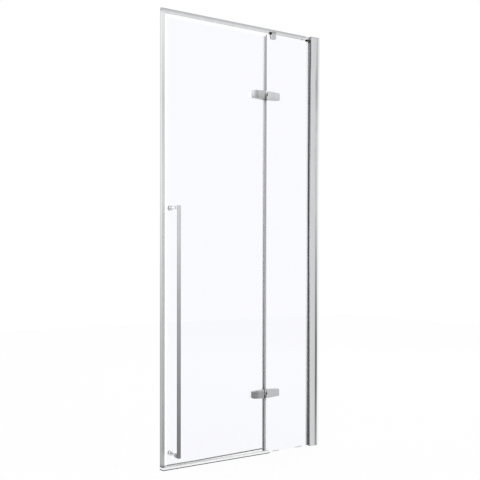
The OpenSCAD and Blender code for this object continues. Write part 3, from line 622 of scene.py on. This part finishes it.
alongUpright = (1, 1, 0.004)  # stretches the die lines along an extrusion
alongThreshold = (0.004, 1, 1)
finishes = {
    "headerChrome": chromeFinish("headerChrome", headerTone),
    "connectorChrome": chromeFinish("connectorChrome", connectorTone),
    "clampChrome": chromeFinish("clampChrome", clampTone),
    "upperDoorLeafChrome": chromeFinish("upperDoorLeafChrome", upperDoorLeafTone),
    "lowerDoorLeafChrome": chromeFinish("lowerDoorLeafChrome", lowerDoorLeafTone),
    "fixedLeafChrome": chromeFinish("fixedLeafChrome", fixedLeafTone),
    "barChrome": chromeFinish("barChrome", barTone),
    "handleFixingChrome": chromeFinish("handleFixingChrome", handleFixingTone),
    "closingAluminium": aluminiumFinish("closingAluminium", alongUpright, closingTone,
                                        closingProfile),
    "glassProfileAluminium": aluminiumFinish("glassProfileAluminium", alongUpright, glassProfileTone),
    "wallProfileAluminium": aluminiumFinish("wallProfileAluminium", alongUpright, wallProfileTone),
    "thresholdAluminium": aluminiumFinish("thresholdAluminium", alongThreshold, thresholdTone,
                                          threshold),
    "steel": steelFinish(),
    "glass": glassFinish(),
    "clearSeal": softFinish("clearSeal", (0.985, 0.985, 0.99, 1), 0.24, toneOf=clearSealTone,
                            alphaOf=clearSealAlpha, glow=clearSeals["glow"]),
    "magnetStrip": softFinish("magnetStrip", (0.985, 0.985, 0.985, 1), 0.4, alpha=0.08),
    "hingeSeal": softFinish("hingeSeal", (0.97, 0.975, 0.99, 1), 0.30, toneOf=hingeSealTone,
                            alphaOf=hingeSealAlpha),
    # painted light: the grey gaskets glow a little, standing in for the light that reaches them
    # through the glass
    "greySeal": softFinish("greySeal", (0.50, 0.51, 0.52, 1), 0.35, glow=0.25),
    "padRubber": softFinish("padRubber", (0.97, 0.97, 0.99, 1), 0.6, toneOf=padShadeTone,
                            alphaOf=padAlpha),
    "glazingRubber": softFinish("glazingRubber", (0.97, 0.97, 0.99, 1), 0.5, toneOf=glazingTone),
    "darkPlastic": mouldedFinish("darkPlastic", (0.26, 0.26, 0.265, 1), 0.4),
    "greyPlastic": mouldedFinish("greyPlastic", (0.62, 0.62, 0.63, 1), 0.35),
    "palePlastic": mouldedFinish("palePlastic", (0.84, 0.84, 0.85, 1), 0.35),
    "thresholdPlastic": softFinish("thresholdPlastic", (0.95, 0.95, 0.96, 1), 0.35,
                                   toneOf=thresholdTone),
    "whitePlastic": mouldedFinish("whitePlastic", (0.90, 0.90, 0.90, 1), 0.4),
}
print("finishes made:", len(finishes))

finishOf = {
    "headerChrome": ["header_bar", "header_wall_bracket"],
    "connectorChrome": ["header_connector"],
    "clampChrome": ["header_clamp"],
    "upperDoorLeafChrome": ["upper_door_leaf", "door_knuckle_caps"],
    "lowerDoorLeafChrome": ["lower_door_leaf", "door_leaf_plugs"],
    "fixedLeafChrome": ["upper_fixed_leaf", "lower_fixed_leaf", "fixed_knuckle_caps",
                        "fixed_leaf_plugs"],
    "barChrome": ["handle_bar"],
    "handleFixingChrome": ["handle_arms", "handle_rosettes", "handle_caps"],
    "closingAluminium": ["closing_profile"],
    "glassProfileAluminium": ["glass_profile"],
    "wallProfileAluminium": ["wall_profile"],
    "thresholdAluminium": ["threshold"],
    "steel": ["profile_lock_screws", "header_bracket_screw", "header_connector_screw",
              "header_clamp_screw", "header_clamp_grubs", "upper_spindle", "lower_spindle",
              "handle_bolts"],
    "glass": ["fixed_glass", "door_glass"],
    "clearSeal": ["strike_seal", "closing_seal", "drip_seal", "handle_washers"],
    "hingeSeal": ["hinge_seal"],
    "greySeal": ["fixed_leaf_gaskets", "door_leaf_gaskets"],
    "padRubber": ["connector_pad"],
    "glazingRubber": ["glazing_strips"],
    "darkPlastic": ["fixed_cams", "door_cams"],
    "greyPlastic": ["profile_top_cap"],
    "palePlastic": ["header_clamp_lining", "setting_blocks"],
    "thresholdPlastic": ["threshold_end_cap", "threshold_wall_cap"],
    "magnetStrip": ["strike_magnet", "door_magnet"],
    "whitePlastic": ["fixed_leaf_sleeves", "door_leaf_sleeves", "pivot_bushes"],
}
finishFor = {member: finish for finish, members in finishOf.items() for member in members}


def giveFinish(obj, nodeName):
    obj.data.materials.clear()
    obj.data.materials.append(finishes[finishFor[nodeName]])


for nodeName in nodes:
    giveFinish(nodes[nodeName], nodeName)
print("nodes dressed:", len(finishFor), "of", len(nodes))


softEdges = {  # width of the rounding on each chrome casting
    "upper_fixed_leaf": 0.0009,
    "lower_fixed_leaf": 0.0009,
    "upper_door_leaf": 0.0009,
    "lower_door_leaf": 0.0009,
    "header_clamp": 0.0006,
    "header_connector": 0.0005,
    "handle_arms": 0.0006,
    "handle_caps": 0.0005,
    "handle_rosettes": 0.0004,
}
rounding = {
    "edgeAngle": math.radians(32),
    "flatAngle": math.radians(0.6),
    "mergeDistance": 0.000002,
    "segments": 3,
}


def roundEdges(nodeName, width):
    source = nodes[nodeName]
    mesh = source.data.copy()
    piece = bpy.data.objects.new(nodeName + "_polished", mesh)
    bpy.context.scene.collection.objects.link(piece)
    shape = bmesh.new()
    shape.from_mesh(mesh)
    bmesh.ops.remove_doubles(shape, verts=shape.verts, dist=rounding["mergeDistance"])
    bmesh.ops.dissolve_limit(shape, angle_limit=rounding["flatAngle"],
                             verts=shape.verts, edges=shape.edges)
    shape.to_mesh(mesh)
    shape.free()
    bevel = piece.modifiers.new("softEdge", "BEVEL")
    bevel.width = width
    bevel.segments = rounding["segments"]
    bevel.limit_method = "ANGLE"
    bevel.angle_limit = rounding["edgeAngle"]
    bpy.context.view_layer.objects.active = piece
    with bpy.context.temp_override(object=piece, active_object=piece, selected_objects=[piece]):
        bpy.ops.object.modifier_apply(modifier=bevel.name)
    for polygon in mesh.polygons:
        polygon.use_smooth = True
    weighted = piece.modifiers.new("flatFaces", "WEIGHTED_NORMAL")
    weighted.keep_sharp = True
    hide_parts(nodeName)
    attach(piece, source["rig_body"])
    giveFinish(piece, nodeName)


for nodeName, width in softEdges.items():
    roundEdges(nodeName, width)
print("castings rounded:", len(softEdges))


studio = {
    "floorSize": 14.0,
    "floorTone": (0.96, 0.96, 0.965, 1),
    "floorGlow": 0.93,
    "floorDrop": 0.0005,
    "white": (1, 1, 1, 1),
    "skyStrength": 0.85,
    "lampTarget": (0, 0, 1.0),
    "keyPlace": (-3.2, -3.6, 3.4),
    "keySize": 2.4,
    "keyPower": 55.0,
    "fillPlace": (3.4, 2.6, 3.0),
    "fillSize": 2.6,
    "fillPower": 30.0,
}


def seenDirectly(g):
    # rays that show the background itself, straight, mirrored or through the glass
    path = g.tree.nodes.new("ShaderNodeLightPath")
    straight, mirrored, through = (Wire(g, path.outputs["Is %s Ray" % kind])
                                   for kind in ("Camera", "Glossy", "Transmission"))
    rays = straight + mirrored + through
    return g.add("ShaderNodeMath", {"operation": "MINIMUM"}, {0: rays, 1: 1.0})


def makeFloor():
    mesh = bpy.data.meshes.new("floor")
    half = studio["floorSize"] / 2
    mesh.from_pydata([(-half, -half, 0), (half, -half, 0), (half, half, 0), (-half, half, 0)],
                     [], [(0, 1, 2, 3)])
    floor = bpy.data.objects.new("floor", mesh)
    bpy.context.scene.collection.objects.link(floor)
    floor.location.z = -studio["floorDrop"]
    material, g = newMaterial("paleFloor")
    matte = g.add("ShaderNodeBsdfDiffuse", None, {"Color": studio["floorTone"]})
    bright = g.add("ShaderNodeEmission", None, {"Color": studio["white"], "Strength": 1.0})
    glow = seenDirectly(g) * studio["floorGlow"]
    both = g.add("ShaderNodeMixShader", None, {0: glow, 1: matte, 2: bright})
    g.add("ShaderNodeOutputMaterial", None, {"Surface": both})
    mesh.materials.append(material)


def makeSky():
    world = bpy.data.worlds.new("studioSky")
    world.use_nodes = True
    bpy.context.scene.world = world
    g = Graph(world.node_tree)
    room = g.add("ShaderNodeBackground", None,
                 {"Color": studio["white"], "Strength": studio["skyStrength"]})
    white = g.add("ShaderNodeBackground", None, {"Color": studio["white"], "Strength": 1.0})
    both = g.add("ShaderNodeMixShader", None, {0: seenDirectly(g), 1: room, 2: white})
    g.add("ShaderNodeOutputWorld", None, {"Surface": both})


def makeLamp(name, place, size, power):
    lamp = bpy.data.lights.new(name, "AREA")
    lamp.shape = "SQUARE"
    lamp.size = size
    lamp.energy = power
    holder = bpy.data.objects.new(name, lamp)
    bpy.context.scene.collection.objects.link(holder)
    holder.location = place
    direction = Vector(studio["lampTarget"]) - Vector(place)
    holder.rotation_euler = direction.to_track_quat("-Z", "Y").to_euler()
    holder.visible_transmission = False  # the panes show plain white, not the lamp


makeFloor()
makeSky()
makeLamp("keyLamp", studio["keyPlace"], studio["keySize"], studio["keyPower"])
makeLamp("fillLamp", studio["fillPlace"], studio["fillSize"], studio["fillPower"])
print("studio ready")


view = {  # solved from the picture's verticals, header and threshold
    "place": (-2.2055, -3.1033, 0.9209),
    "yaw": 35.1295,
    "pitch": -0.6427,
    "roll": 0.0799,
    "focalPixels": 821.83,
    "imageSize": 480,
    "middleDrop": 27.2,
    "sensorWidth": 36.0,
    "farthest": 60.0,
}


def makeCamera():
    yaw, pitch, roll = (math.radians(view[k]) for k in ("yaw", "pitch", "roll"))
    forward = Vector((math.sin(yaw) * math.cos(pitch), math.cos(yaw) * math.cos(pitch),
                      math.sin(pitch)))
    level = Vector((math.cos(yaw), -math.sin(yaw), 0))
    upright = level.cross(forward)
    right = math.cos(roll) * level + math.sin(roll) * upright
    up = right.cross(forward)
    camera = bpy.data.cameras.new("camera")
    camera.sensor_fit = "HORIZONTAL"
    camera.sensor_width = view["sensorWidth"]
    camera.lens = view["focalPixels"] / view["imageSize"] * camera.sensor_width
    camera.shift_y = view["middleDrop"] / view["imageSize"]
    camera.clip_end = view["farthest"]
    holder = bpy.data.objects.new("camera", camera)
    bpy.context.scene.collection.objects.link(holder)
    turn = Matrix((right, up, -forward)).transposed().to_4x4()
    holder.matrix_world = Matrix.Translation(view["place"]) @ turn
    bpy.context.scene.camera = holder


makeCamera()
bpy.context.scene.view_settings.view_transform = "Standard"
print("camera ready")
